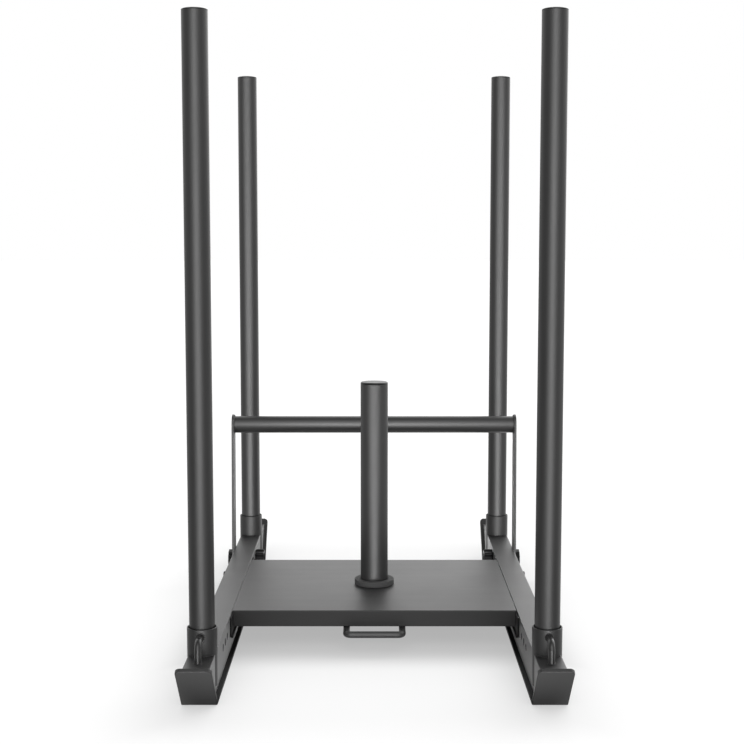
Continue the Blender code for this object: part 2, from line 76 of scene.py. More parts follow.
WPOST_D, WPOST_WALL, WPOST_RIM, WPOST_CAP_H = 0.0483, 0.003, 0.4245, 0.0032
COLLAR_D, COLLAR_H = 0.070, 0.0095
LOOP_D, LOOP_W, LOOP_Y, LOOP_Z, LOOP_BEND = 0.011, 0.0924, -0.205, 0.0322, 0.008
TOW_D, TOW_Y, TOW_Z, TOW_BEND = 0.010, 0.4605, 0.0952, 0.012
PIVOT_Y, PIVOT_Z, BAR_Y, BAR_Z, BAR_D, BAR_WALL = 0.280, 0.043, 0.292, 0.3117, 0.0330, 0.002
ARM_T, ARM_X0, ARM_R_TOP, ARM_R_BOT = 0.004, 0.2773, 0.020, 0.022
KNOB_D, KNOB_L, HEAD_L, STUD_D = 0.038, 0.0175, 0.008, 0.012

IN_YZ = Matrix(((0, 0, 1), (1, 0, 0), (0, 1, 0))).to_4x4()     # local XY lies in world YZ
IN_XZ = Matrix(((1, 0, 0), (0, 0, -1), (0, 1, 0))).to_4x4()    # local XY lies in world XZ
ALONG_X = Matrix(((0, 0, 1), (0, 1, 0), (-1, 0, 0))).to_4x4()  # local Z points along world X


# ------------------------------------------------------------------ materials
def nodes_of(name):
    mat = bpy.data.materials.new(name)
    mat.use_nodes = True
    tree = mat.node_tree
    return mat, tree, tree.nodes["Principled BSDF"]


def link(tree, a, out, b, inp):
    tree.links.new(a.outputs[out], b.inputs[inp])


def noise(tree, coords, scale, detail=2.0, rough=0.5, stretch=None):
    node = tree.nodes.new("ShaderNodeTexNoise")
    node.inputs["Scale"].default_value = scale
    node.inputs["Detail"].default_value = detail
    node.inputs["Roughness"].default_value = rough
    if stretch:
        mapping = tree.nodes.new("ShaderNodeMapping")
        mapping.inputs["Scale"].default_value = stretch
        link(tree, coords, "Object", mapping, "Vector")
        link(tree, mapping, "Vector", node, "Vector")
    else:
        link(tree, coords, "Object", node, "Vector")
    return node


def spread(tree, source, out, lo, hi, a=0.3, b=0.7):
    """Maps a noise value to a range."""
    node = tree.nodes.new("ShaderNodeMapRange")
    node.inputs["From Min"].default_value = a
    node.inputs["From Max"].default_value = b
    node.inputs["To Min"].default_value = lo
    node.inputs["To Max"].default_value = hi
    link(tree, source, out, node, "Value")
    return node


def tint(tree, colour, factor_node, out="Result"):
    """Base colour times a slowly varying factor."""
    rgb = tree.nodes.new("ShaderNodeCombineColor")
    for i, channel in enumerate(("Red", "Green", "Blue")):
        mul = tree.nodes.new("ShaderNodeMath")
        mul.operation = "MULTIPLY"
        mul.inputs[1].default_value = colour[i]
        link(tree, factor_node, out, mul, 0)
        link(tree, mul, "Value", rgb, channel)
    return rgb


def bumps(tree, shader, layers):
    """Chains bump layers, each (noise node, height in metres)."""
    last = None
    for source, height in layers:
        bump = tree.nodes.new("ShaderNodeBump")
        bump.inputs["Strength"].default_value = 1.0
        bump.inputs["Distance"].default_value = height
        link(tree, source, "Fac", bump, "Height")
        if last:
            link(tree, last, "Normal", bump, "Normal")
        last = bump
    link(tree, last, "Normal", shader, "Normal")


def powder_coat(name, colour=(0.0071, 0.0070, 0.0070), rough=0.44, streaks=0.0, peel=0.000022, specular=0.5):
    """Satin powder coat: fine orange peel, a faint cloudiness, and soft drawn streaks where asked."""
    mat, tree, shader = nodes_of(name)
    coords = tree.nodes.new("ShaderNodeTexCoord")
    shader.inputs["Specular IOR Level"].default_value = specular
    cloud = noise(tree, coords, 9.0, 3.0, 0.55)
    if streaks:
        drawn = noise(tree, coords, 1.0, 4.0, 0.6, (2.2, 46.0, 46.0))
        mix = tree.nodes.new("ShaderNodeMath")
        mix.operation = "MULTIPLY_ADD"
        mix.inputs[1].default_value = streaks
        link(tree, drawn, "Fac", mix, 0)
        link(tree, cloud, "Fac", mix, 2)
        lo, hi = 0.3 + 0.3 * streaks, 0.7 + 0.7 * streaks
        rough_map = spread(tree, mix, "Value", rough - 0.025, rough + 0.025, lo, hi)
        tone = spread(tree, mix, "Value", 0.95, 1.05, lo, hi)
    else:
        rough_map = spread(tree, cloud, "Fac", rough - 0.018, rough + 0.018)
        tone = spread(tree, cloud, "Fac", 0.95, 1.05)
    link(tree, rough_map, "Result", shader, "Roughness")
    link(tree, tint(tree, colour, tone), "Color", shader, "Base Color")
    bumps(tree, shader, [(noise(tree, coords, 260.0, 2.0, 0.5), peel * 2.2),
                         (noise(tree, coords, 950.0, 2.0, 0.6), peel)])
    return mat


def plastic(name, colour=(0.011, 0.011, 0.012), rough=0.42, grain=0.000018, scale=1400.0, lines=0.0, specular=0.5):
    """Moulded plastic with a fine spark-eroded grain; the runners also show faint sliding lines."""
    mat, tree, shader = nodes_of(name)
    coords = tree.nodes.new("ShaderNodeTexCoord")
    shader.inputs["Specular IOR Level"].default_value = specular
    cloud = noise(tree, coords, 30.0, 3.0, 0.6)
    link(tree, spread(tree, cloud, "Fac", rough - 0.04, rough + 0.04), "Result", shader, "Roughness")
    link(tree, tint(tree, colour, spread(tree, cloud, "Fac", 0.9, 1.12)), "Color", shader, "Base Color")
    layers = [(noise(tree, coords, scale, 2.0, 0.6), grain)]
    if lines:
        layers.append((noise(tree, coords, 1.0, 3.0, 0.6, (900.0, 5.0, 900.0)), lines))
    bumps(tree, shader, layers)
    return mat


def steel(name, colour, rough, metallic, scratch=0.00001, coat=0.0):
    """Bare or oxidised steel with turned or rolled marks."""
    mat, tree, shader = nodes_of(name)
    coords = tree.nodes.new("ShaderNodeTexCoord")
    shader.inputs["Metallic"].default_value = metallic
    shader.inputs["Coat Weight"].default_value = coat
    cloud = noise(tree, coords, 160.0, 4.0, 0.6)
    link(tree, spread(tree, cloud, "Fac", rough - 0.07, rough + 0.07), "Result", shader, "Roughness")
    link(tree, tint(tree, colour, spread(tree, cloud, "Fac", 0.86, 1.12)), "Color", shader, "Base Color")
    bumps(tree, shader, [(noise(tree, coords, 1500.0, 3.0, 0.6), scratch)])
    return mat


COAT = powder_coat("powder_coat_frame")
COAT_TUBE = powder_coat("powder_coat_tube", colour=(0.0064, 0.0063, 0.0063), rough=0.42, specular=0.36)
COAT_ROD = powder_coat("powder_coat_rod", colour=(0.0054, 0.0053, 0.0053), rough=0.33, specular=0.40)
# the deck angles' coat is darker and duller than the frame's: painted shade for the shade beneath the deck
COAT_ANGLE_PAINTED_SHADE = powder_coat("powder_coat_angle", colour=(0.0042, 0.0042, 0.0042), rough=0.70, specular=0.18)
COAT_DECK = powder_coat("powder_coat_deck", rough=0.46, streaks=0.6)
COAT_COLLAR = powder_coat("powder_coat_collar", colour=(0.0141, 0.0140, 0.0140), rough=0.80, peel=0.00003)
# the weld coat is darker and duller than the frame's: painted shade at the joints where the welds sit
COAT_WELD_PAINTED_SHADE = powder_coat("powder_coat_weld", colour=(0.0061, 0.0060, 0.0060), rough=0.52, peel=0.00003, specular=0.36)
CAP = plastic("plastic_cap", colour=(0.0045, 0.0045, 0.0047), rough=0.38, specular=0.25)
KNOB = plastic("plastic_knob", colour=(0.0034, 0.0034, 0.0035), rough=0.32, specular=0.12)
RUNNER = plastic("plastic_runner", colour=(0.0038, 0.0038, 0.0038), rough=0.55, lines=0.00002, specular=0.10)
BLACK_STEEL = steel("black_oxide_steel", (0.020, 0.020, 0.021), 0.42, 0.6)
ZINC = steel("zinc_plated_steel", (0.50, 0.51, 0.52), 0.33, 0.95)


# --------------------------------------------------------------- mesh helpers
def at(x, y, z):
    return Matrix.Translation((x, y, z))


def frame_of(ex, ey, ez, origin):
    m = Matrix((ex, ey, ez)).transposed().to_4x4()
    m.translation = Vector(origin)
    return m


def rounded(points, radii, seg=6, closed=True):
    """Polyline whose corners are replaced by tangent arcs; points in 2D or 3D."""
    pts = [Vector(p) for p in points]
    if not isinstance(radii, (list, tuple)):
        radii = [radii] * len(pts)
    n, out = len(pts), []
    for i, p in enumerate(pts):
        r = radii[i]
        if r <= 0 or (not closed and i in (0, n - 1)):
            out.append(p)
            continue
        a, b = pts[i - 1] - p, pts[(i + 1) % n] - p
        la, lb = a.length, b.length
        a.normalize()
        b.normalize()
        angle = a.angle(b)
        if angle > math.pi - 0.001:
            out.append(p)
            continue
        t = min(r / math.tan(angle / 2), 0.499 * la, 0.499 * lb)
        r = t * math.tan(angle / 2)
        centre = p + (a + b).normalized() * (r / math.sin(angle / 2))
        u, v = p + a * t - centre, p + b * t - centre
        total = u.angle(v)
        for k in range(seg + 1):
            f = k / seg
            out.append(centre + (math.sin((1 - f) * total) * u + math.sin(f * total) * v) / math.sin(total))
    return out


def circle(r, steps, cx=0.0, cy=0.0):
    return [(cx + r * math.cos(TAU * i / steps), cy + r * math.sin(TAU * i / steps)) for i in range(steps)]


def arc(cx, cy, r, a0, a1, steps):
    return [(cx + r * math.cos(math.radians(a0 + (a1 - a0) * i / steps)),
             cy + r * math.sin(math.radians(a0 + (a1 - a0) * i / steps))) for i in range(steps + 1)]


def to_mesh(bm, name="shape"):
    bmesh.ops.recalc_face_normals(bm, faces=bm.faces)
    if bm.calc_volume(signed=True) < 0.0:
        bmesh.ops.reverse_faces(bm, faces=bm.faces)
    me = bpy.data.meshes.new(name)
    bm.to_mesh(me)
    bm.free()
    return me


def lathe(profile, steps=96, closed=True):
    """Turned solid about local Z from (radius, height) points."""
    bm = bmesh.new()
    rings = []
    for r, h in profile:
        if r < 1e-7:
            rings.append([bm.verts.new((0.0, 0.0, h))])
        else:
            rings.append([bm.verts.new((r * math.cos(TAU * k / steps), r * math.sin(TAU * k / steps), h))
                          for k in range(steps)])
    n = len(profile)
    for i, j in [(i, i + 1) for i in range(n - 1)] + ([(n - 1, 0)] if closed else []):
        a, b = rings[i], rings[j]
        if len(a) == 1 and len(b) == 1:
            continue
        for k in range(steps):
            m = (k + 1) % steps
            if len(a) == 1:
                bm.faces.new((a[0], b[k], b[m]))
            elif len(b) == 1:
                bm.faces.new((a[k], b[0], a[m]))
            else:
                bm.faces.new((a[k], b[k], b[m], a[m]))
    return to_mesh(bm)


def sweep(path, radius, sides=24, round_ends=0.0):
    """Round rod along 3D points, with slightly rounded ends. radius may be one value per point."""
    path = [Vector(p) for p in path]
    radii = list(radius) if isinstance(radius, (list, tuple)) else [radius] * len(path)
    if round_ends:
        def trimmed(p, q, r):
            d = (q - p).normalized()
            e = min(round_ends, r * 0.9)
            return [(p + d * e * (1 - math.cos(f)), r - e * (1 - math.sin(f)))
                    for f in (0.0, math.radians(30), math.radians(60))] + [(p + d * e, r)]
        head = trimmed(path[0], path[1], radii[0])
        tail = trimmed(path[-1], path[-2], radii[-1])[::-1]
        pts = [p for p, _ in head] + path[1:-1] + [p for p, _ in tail]
        radii = [r for _, r in head] + radii[1:-1] + [r for _, r in tail]
        path = pts
    tangents = []
    for i in range(len(path)):
        a = path[max(i - 1, 0)]
        b = path[min(i + 1, len(path) - 1)]
        tangents.append((b - a).normalized())
    side = tangents[0].orthogonal().normalized()
    bm = bmesh.new()
    rings = []
    for i, (p, t) in enumerate(zip(path, tangents)):
        side = (side - t * side.dot(t)).normalized()
        up = t.cross(side)
        # keep the rod's section true where the path turns
        stretch = 1.0
        if 0 < i < len(path) - 1:
            u, v = (path[i] - path[i - 1]), (path[i + 1] - path[i])
            if u.length > 1e-9 and v.length > 1e-9:
                stretch = 1.0 / max(math.cos(u.angle(v) / 2), 0.5)
        turn = (path[min(i + 1, len(path) - 1)] - p).normalized() - (p - path[max(i - 1, 0)]).normalized() \
            if 0 < i < len(path) - 1 else Vector((0, 0, 0))
        ring = []
        for k in range(sides):
            d = side * math.cos(TAU * k / sides) + up * math.sin(TAU * k / sides)
            if turn.length > 1e-6:
                w = turn.normalized()
                d = d + w * d.dot(w) * (stretch - 1.0)
            ring.append(bm.verts.new(p + d * radii[i]))
        rings.append(ring)
    for a, b in zip(rings, rings[1:]):
        for k in range(sides):
            m = (k + 1) % sides
            bm.faces.new((a[k], a[m], b[m], b[k]))
    for ring, p in ((rings[0], path[0]), (rings[-1], path[-1])):
        centre = bm.verts.new(p)
        for k in range(sides):
            bm.faces.new((ring[k], ring[(k + 1) % sides], centre))
    return to_mesh(bm)


def outline(outlines, thickness, bevel=0.0004, res=2):
    """Flat or extruded piece about its mid plane, from closed 2D outlines, with softly rounded edges."""
    cu = bpy.data.curves.new("outline", "CURVE")
    cu.dimensions = "2D"
    cu.fill_mode = "BOTH"
    cu.extrude = thickness / 2 - bevel
    cu.bevel_depth = bevel
    cu.bevel_resolution = res
    cu.offset = -bevel
    for pts in outlines:
        sp = cu.splines.new("POLY")
        sp.points.add(len(pts) - 1)
        for p, q in zip(sp.points, pts):
            p.co = (q[0], q[1], 0.0, 1.0)
        sp.use_cyclic_u = True
    tmp = bpy.data.objects.new("outline", cu)
    bpy.context.scene.collection.objects.link(tmp)
    bpy.context.view_layer.update()
    me = bpy.data.meshes.new_from_object(tmp.evaluated_get(bpy.context.evaluated_depsgraph_get()))
    bpy.data.objects.remove(tmp, do_unlink=True)
    bm = bmesh.new()
    bm.from_mesh(me)
    bmesh.ops.remove_doubles(bm, verts=bm.verts, dist=0.000004)
    bmesh.ops.dissolve_degenerate(bm, edges=bm.edges, dist=0.000002)
    bpy.data.meshes.remove(me)
    return to_mesh(bm)


def prism(r, depth, sides):
    bm = bmesh.new()
    bmesh.ops.create_cone(bm, cap_ends=True, cap_tris=False, segments=sides, radius1=r, radius2=r, depth=depth)
    return to_mesh(bm)


def block(size):
    bm = bmesh.new()
    bmesh.ops.create_cube(bm, size=1.0)
    bmesh.ops.scale(bm, vec=size, verts=bm.verts)
    return to_mesh(bm)


def combine(base, others):
    """Base mesh with others cut away or added: (mesh, matrix, how)."""
    obj = bpy.data.objects.new("base", base)
    bpy.context.scene.collection.objects.link(obj)
    tools = []
    for me, matrix, how in others:
        tool = bpy.data.objects.new("tool", me)
        bpy.context.scene.collection.objects.link(tool)
        tool.matrix_world = matrix
        mod = obj.modifiers.new("b", "BOOLEAN")
        mod.operation = how
        mod.solver = "EXACT"
        mod.object = tool
        tools.append(tool)
    bpy.context.view_layer.update()
    me = bpy.data.meshes.new_from_object(obj.evaluated_get(bpy.context.evaluated_depsgraph_get()))
    for o in [obj] + tools:
        bpy.data.objects.remove(o, do_unlink=True)
    me.materials.clear()
    return me


def soften(me, width, segments=2, angle=40.0):
    """Rounds every edge sharper than the angle."""
    bm = bmesh.new()
    bm.from_mesh(me)
    bmesh.ops.remove_doubles(bm, verts=bm.verts, dist=0.000004)
    edges = [e for e in bm.edges if len(e.link_faces) == 2 and e.calc_face_angle(0.0) > math.radians(angle)]
    bmesh.ops.bevel(bm, geom=edges, offset=width, segments=segments, profile=0.5, affect="EDGES",
                    clamp_overlap=True, loop_slide=False)
    return to_mesh(bm)


def moved(me, matrix):
    me = me.copy()
    me.transform(matrix)
    return me


def merged(parts):
    """One mesh from several separate ones, each (mesh, matrix)."""
    bm = bmesh.new()
    for me, matrix in parts:
        bm.from_mesh(moved(me, matrix))
    me = bpy.data.meshes.new("shape")
    bm.to_mesh(me)
    bm.free()
    return me


def piece(name, me, matrix, body, mat, replaces=(), angle=34.0, weighted=True):
    """Puts a finished shape in the scene and lets it ride on its body."""
    me = moved(me, matrix)
    me.name = name
    me.materials.clear()
    me.materials.append(mat)
    me.shade_smooth()
    me.set_sharp_from_angle(angle=math.radians(angle))
    obj = bpy.data.objects.new(name, me)
    bpy.context.scene.collection.objects.link(obj)
    if weighted:
        mod = obj.modifiers.new("normals", "WEIGHTED_NORMAL")
        mod.keep_sharp = True
        mod.weight = 100
    if replaces:
        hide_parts(*replaces)
    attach(obj, body)
    return obj


# --------------------------------------------------------------- shape makers
TIP_UP = Vector((0.0, TIP_Y1 - TIP_Y0, TIP_Z1)).normalized()
TIP_LEN = math.hypot(TIP_Y1 - TIP_Y0, TIP_Z1)
TIP_OUT = Vector((0.0, TIP_UP.z, -TIP_UP.y))


def tip_frame(x, e, offset):
    """Frame on the slope, `offset` inwards from the plate's outer face; local Y up the slope, Z outwards."""
    up = Vector((0, e * TIP_UP.y, TIP_UP.z))
    out = Vector((0, e * TIP_OUT.y, TIP_OUT.z))
    foot = Vector((x, e * TIP_Y0, 0.0)) - out * offset
    return frame_of(up.cross(out), up, out, foot)


def hex_shape(corner_r, height, bore=0.0):
    """Hexagon about its centre, axis local Z, with the turned chamfer of a forged head, or of a nut if it has a bore."""
    flat = corner_r * math.cos(math.pi / 6)
    c = (corner_r - flat) * 1.15
    drop = c * math.tan(math.radians(30))
    r, top, b = corner_r * 1.02, height / 2, 0.0006
    if bore:
        prof = [(bore + b, top), (r - c, top), (r, top - drop), (r, drop - top), (r - c, -top), (bore + b, -top),
                (bore, b - top), (bore, top - b)]
    else:
        prof = [(0.0, top), (r - c, top), (r, top - drop), (r, -top), (0.0, -top)]
    turned = lathe(prof, 60, closed=bool(bore))
    return combine(prism(corner_r, height * 1.5, 6), [(turned, Matrix(), "INTERSECT")])


def thread_profile(r, z0, z1, pitch, depth):
    """Radius profile of a threaded length, from z1 down to z0."""
    out = [(r - depth * 1.6, z1), (r - 0.1 * depth, z1 - pitch * 0.8)]
    z = z1 - pitch * 0.8
    while z - pitch > z0:
        out += [(r, z - 0.15 * pitch), (r - depth, z - 0.5 * pitch), (r - depth, z - 0.65 * pitch), (r, z - pitch)]
        z -= pitch
    out.append((r, z0))
    return out


def hex_bolt(corner_r, head_h, r, length, thread):
    """Hex bolt along local +Z from under its head."""
    head = moved(hex_shape(corner_r, head_h), Matrix.Translation((0, 0, -head_h / 2)) @ Matrix.Rotation(math.pi, 4, "X"))
    prof = [(0.0, length)] + thread_profile(r, length - thread, length, 0.00150, 0.0007) + [(r, -head_h * 0.4), (0.0, -head_h * 0.4)]
    shank = lathe(prof, 32, closed=False)
    return combine(head, [(shank, Matrix(), "UNION")])


def bead(path, r, ripple=0.10, pitch=0.0016, sides=10):
    """Painted weld bead: a rod with soft regular ripples, thinner at its ends."""
    pts = [Vector(p) for p in path]
    total = sum((b - a).length for a, b in zip(pts, pts[1:]))
    n = max(int(total / (pitch / 4)), 8)
    out, radii = [], []
    lengths = [0.0]
    for a, b in zip(pts, pts[1:]):
        lengths.append(lengths[-1] + (b - a).length)
    j = 0
    for i in range(n + 1):
        s = total * i / n
        while j < len(pts) - 2 and lengths[j + 1] < s:
            j += 1
        f = (s - lengths[j]) / max(lengths[j + 1] - lengths[j], 1e-9)
        out.append(pts[j].lerp(pts[j + 1], min(max(f, 0.0), 1.0)))
        edge = min(s, total - s)
        grow = min(1.0, 0.35 + edge / (2.5 * r))
        radii.append(r * grow * (1.0 + ripple * (abs(math.sin(math.pi * s / pitch)) - 0.5)
                                 + 0.05 * math.sin(s * 310.0) + 0.04 * math.sin(s * 1230.0 + 1.3)))
    return sweep(out, radii, sides)


# -------------------------------------------------------------------- rails
def make_rail(side, s):
    x, mid = s * RAIL_X, (RAIL_Z0 + RAIL_Z1) / 2
    w, h, t = RAIL_W / 2, RAIL_H / 2, RAIL_WALL
    near_deck = 0.0006                            # a crisper edge beside the deck, as in the photograph
    radii = [RAIL_R, RAIL_R] + ([near_deck, RAIL_R] if s < 0 else [RAIL_R, near_deck])
    outer = rounded([(-w, -h), (w, -h), (w, h), (-w, h)], radii, 7)
    inner = rounded([(-w + t, -h + t), (w - t, -h + t), (w - t, h - t), (-w + t, h - t)], 0.0009, 3)
    tube = moved(outline([outer, inner], 2 * TIP_Y1, 0.0002, 0), at(x, 0, mid) @ IN_XZ)
    tools = []
    for _, e in ENDS:
        tools.append((block((0.1, 0.3, 0.2)), tip_frame(x, e, TIP_T + GAP) @ at(0, TIP_LEN / 2, 0.1), "DIFFERENCE"))
        bore = SOCKET_D + 2 * GAP
        tools.append((prism(bore / 2, 0.08, 96), at(x, e * POST_Y, SOCKET_Z0 - GAP + 0.04), "DIFFERENCE"))
        for y in HOLE_YS:
            tools.append((prism(HOLE_D / 2, 0.08, 40), at(x, e * y, HOLE_Z) @ ALONG_X, "DIFFERENCE"))
        tools.append((prism(0.0054, 0.08, 32), at(x, e * DECK_BOLT_Y, DECK_BOLT_Z) @ ALONG_X, "DIFFERENCE"))
    for y in SCREW_YS:
        tools.append((prism(SCREW_D / 2 + GAP, 0.02, 20), at(x, y, RAIL_Z0), "DIFFERENCE"))
    me = combine(tube, tools)
    piece(side + "_rail_tube", me, Matrix(), "frame", COAT, [side + "_rail"], angle=30)


def make_runner(side, s):
    slope, run = TIP_T * abs(TIP_OUT.z), TIP_T * abs(TIP_OUT.y)
    y0, h = TIP_Y0 - 0.0006, RUNNER_H
    prof = rounded([(-y0, 0.0), (y0, 0.0), (y0 - run, slope), (y0 - run, h), (-(y0 - run), h), (-(y0 - run), slope)],
                   [0.0010, 0.0010, 0, 0, 0, 0], 4)
    me = moved(outline([prof], RUNNER_W, 0.0006, 3), at(s * RAIL_X, 0, 0) @ IN_YZ)
    sink = lathe([(0.0, 0.02), (SCREW_D / 2 + GAP, 0.02), (SCREW_D / 2 + GAP, 0.0030), (SCREW_HEAD / 2 + GAP, 0.0008),
                  (SCREW_HEAD / 2 + GAP, -0.005), (0.0, -0.005)], 40, closed=False)
    me = combine(me, [(sink, at(s * RAIL_X, y, 0), "DIFFERENCE") for y in SCREW_YS])
    piece(side + "_runner_strip", me, Matrix(), "frame", RUNNER, [side + "_runner"], angle=30)


def make_tip(side, s, end, e):
    w = TIP_W / 2
    pts = rounded([(-w, 0.0), (w, 0.0), (w, TIP_LEN), (-w, TIP_LEN)], [0.0012, 0.0012, TIP_R, TIP_R], 12)
    me = outline([pts], TIP_T, 0.0009, 3)
    piece(f"{end}_{side}_skid_tip", me, tip_frame(s * RAIL_X, e, TIP_T / 2), "frame", COAT,
          [f"{end}_{side}_tip_plate"], angle=30)
    # weld round the rail's cut end, on the plate's inner face
    m = tip_frame(s * RAIL_X, e, TIP_T)
    inv = m.inverted()
    hw = RAIL_W / 2 + 0.0006
    low = (inv @ Vector((s * RAIL_X, e * (TIP_Y0 - 0.004), RAIL_Z0 + 0.004))).y
    high = low + (RAIL_H - 0.003) / TIP_UP.z
    path = rounded([(-hw, low, -0.0006), (-hw, high, -0.0006), (hw, high, -0.0006), (hw, low, -0.0006)], 0.004, 5,
                   closed=False)
    piece(f"{end}_{side}_tip_weld", bead(path, 0.0019), m, "frame", COAT_WELD_PAINTED_SHADE, angle=60,
          weighted=False)


def make_socket(side, s, end, e):
    r, ri = SOCKET_D / 2, SOCKET_D / 2 - SOCKET_WALL
    floor, drain = SOCKET_Z0 + SOCKET_FLOOR, SOCKET_DRAIN / 2
    prof = rounded([(r, SOCKET_Z1), (r, SOCKET_Z0), (drain, SOCKET_Z0), (drain, floor), (ri, floor), (ri, SOCKET_Z1)],
                   [0.0013, 0.0005, 0.0004, 0.0004, 0.0008, 0.0007], 6)
    x, y = s * RAIL_X, e * POST_Y
    piece(f"{end}_{side}_socket_tube", lathe(prof, 96), at(x, y, 0), "frame", COAT_TUBE,
          [f"{end}_{side}_socket"], angle=40, weighted=False)
    # weld where the tube stands on the rail, before and behind it
    parts = []
    for way in (-1, 1):
        limit = math.degrees(math.asin((RAIL_W / 2 - 0.0012) / r))
        pts = [((r + 0.0004) * math.sin(math.radians(a)), way * (r + 0.0004) * math.cos(math.radians(a)), RAIL_Z1 + 0.0002)
               for a in [limit * (2 * i / 40 - 1) for i in range(41)]]
        parts.append((bead(pts, 0.0012), Matrix()))
    piece(f"{end}_{side}_socket_weld", merged(parts), at(x, y, 0), "frame", COAT_WELD_PAINTED_SHADE, angle=60,
          weighted=False)


def make_tow_loop(side, s, end, e):
    x, y0 = s * RAIL_X, POST_Y + SOCKET_D / 2 - 0.0008
    path = rounded([(x, e * y0, TOW_Z), (x, e * TOW_Y, TOW_Z), (x, e * TOW_Y, RAIL_Z1 - 0.0004)], TOW_BEND, 14,
                   closed=False)
    r = TOW_D / 2
    piece(f"{end}_{side}_tow_eye", sweep(path, r, 32), Matrix(), "frame", COAT_ROD,
          [f"{end}_{side}_tow_loop"], angle=50, weighted=False)
    ring = [((r + 0.0003) * math.cos(TAU * i / 28), (r + 0.0003) * math.sin(TAU * i / 28), 0.0) for i in range(29)]
    foot = (bead(ring, 0.0012), at(x, e * TOW_Y, RAIL_Z1 + 0.0002))
    root = (bead(ring, 0.0012), at(x, e * (POST_Y + SOCKET_D / 2), TOW_Z) @ Matrix.Rotation(math.pi / 2, 4, "X"))
    piece(f"{end}_{side}_tow_weld", merged([foot, root]), Matrix(), "frame", COAT_WELD_PAINTED_SHADE, angle=60,
          weighted=False)


def make_post(side, s, end, e):
    base, body = f"{end}_{side}_", f"{end}_{side}_push_post"
    x, y = s * RAIL_X, e * POST_Y
    r, ri = POST_D / 2, POST_D / 2 - POST_WALL
    z0 = SOCKET_Z0 + SOCKET_FLOOR + GAP
    foot_h = 0.0025
    prof = rounded([(r, POST_RIM), (r, z0 + foot_h + GAP), (ri, z0 + foot_h + GAP), (ri, POST_RIM)],
                   [0.0005, 0.0005, 0.0004, 0.0004], 4)
    piece(base + "post_tube", lathe(prof, 128), at(x, y, 0), body, COAT_TUBE, [base + "post"], angle=40,
          weighted=False)
    top = POST_RIM + GAP
    stem = ri - 2 * GAP
    head = [(0.0, top + POST_CAP_H), (r * 0.35, top + POST_CAP_H * 0.985), (r * 0.6, top + POST_CAP_H * 0.93)]
    rim = rounded([(r * 0.6, top + POST_CAP_H * 0.93), (r * 0.86, top + POST_CAP_H * 0.80), (r, top + POST_CAP_H * 0.30),
                   (r, top), (stem, top)], [0, 0.004, 0.0009, 0.0003, 0], 6, closed=False)
    prof = head + [tuple(p) for p in rim[1:]]
    z = top
    for k in range(3):                            # gripping fins round the stem
        prof += [(stem, z - 0.002), (stem - 0.0006, z - 0.0028), (stem - 0.0006, z - 0.0042), (stem, z - 0.0048)]
        z -= 0.0046
    prof += [(ri - 0.003, top - 0.016), (ri - 0.003, top - 0.002), (0.0, top - 0.002)]
    piece(base + "post_plug", lathe(prof, 96, closed=False), at(x, y, 0), body, CAP,
          [base + "post_cap"], angle=40, weighted=False)
    z1 = z0 + foot_h
    prof = [(0.0, z1 + 0.002), (ri - 0.003, z1 + 0.002), (ri - 0.003, z1 + 0.016), (stem, z1 + 0.016), (stem, z1), (r, z1)]
    prof += [tuple(p) for p in rounded([(r, z1), (r, z0), (0.0, z0)], [0, 0.0009, 0], 5, closed=False)[1:]]
    piece(base + "post_foot_plug", lathe(prof, 64, closed=False), at(x, y, 0), body, CAP,
          [base + "post_foot"], angle=40, weighted=False)


# --------------------------------------------------------------------- deck
def make_deck():
    half, low, t, r = DECK_L / 2, DECK_TOP - DECK_LIP, DECK_T, DECK_R - 0.0022
    # walking round the folded section: outer face, rear lip, inner face, front lip
    prof = rounded([(-half, low), (-half, DECK_TOP), (half, DECK_TOP), (half, low), (half - t, low),
                    (half - t, DECK_TOP - t), (-half + t, DECK_TOP - t), (-half + t, low)],
                   [0.0006, r, r, 0.0006, 0.0005, 0.0005, 0.0005, 0.0005], 8)
    me = moved(outline([prof], DECK_W, 0.0003, 1), IN_YZ)
    tools = []
    w, c = DECK_LIP_W / 2, 0.0025
    notch = [(w, DECK_TOP - t - 0.0001)] + arc(w - c, low + c, c, 0, -90, 8)
    notch += [(w - c, low - 0.004), (w + 0.010, low - 0.004), (w + 0.010, DECK_TOP - t - 0.0001)]
    for _, s in SIDES:
        for _, e in ENDS:
            tool = outline([[(s * p[0], p[1]) for p in notch]], 0.012, 0.0, 0)
            tools.append((tool, at(0, e * (half - t / 2), 0) @ IN_XZ, "DIFFERENCE"))
    tools.append((prism(0.0065, 0.02, 32), at(0, 0, DECK_TOP), "DIFFERENCE"))
    me = combine(me, tools)
    piece("deck_sheet", me, Matrix(), "frame", COAT_DECK, ["deck_plate"], angle=32)


def make_bracket(side, s):
    face, top = RAIL_X - RAIL_W / 2 - GAP, DECK_TOP - DECK_T - 2 * GAP
    a, b, t = face, face - BRACKET_FOOT, BRACKET_T
    pts = rounded([(a, top), (a - t, top), (a - t, BRACKET_Z0 + 0.003), (b, BRACKET_Z0 + 0.003), (b, BRACKET_Z0),
                   (a, BRACKET_Z0)], [0.0002, 0.0002, 0.0012, 0.0004, 0.0004, 0.0016], 5)
    me = moved(outline([[(s * p[0], p[1]) for p in pts]], BRACKET_L, 0.0001, 1), IN_XZ)
    me = combine(me, [(prism(0.0054, 0.02, 32), at(s * (face - t / 2), e * DECK_BOLT_Y, DECK_BOLT_Z) @ ALONG_X,
                       "DIFFERENCE") for _, e in ENDS])
    piece(side + "_deck_angle", me, Matrix(), "frame", COAT_ANGLE_PAINTED_SHADE, [side + "_deck_bracket"],
          angle=32)


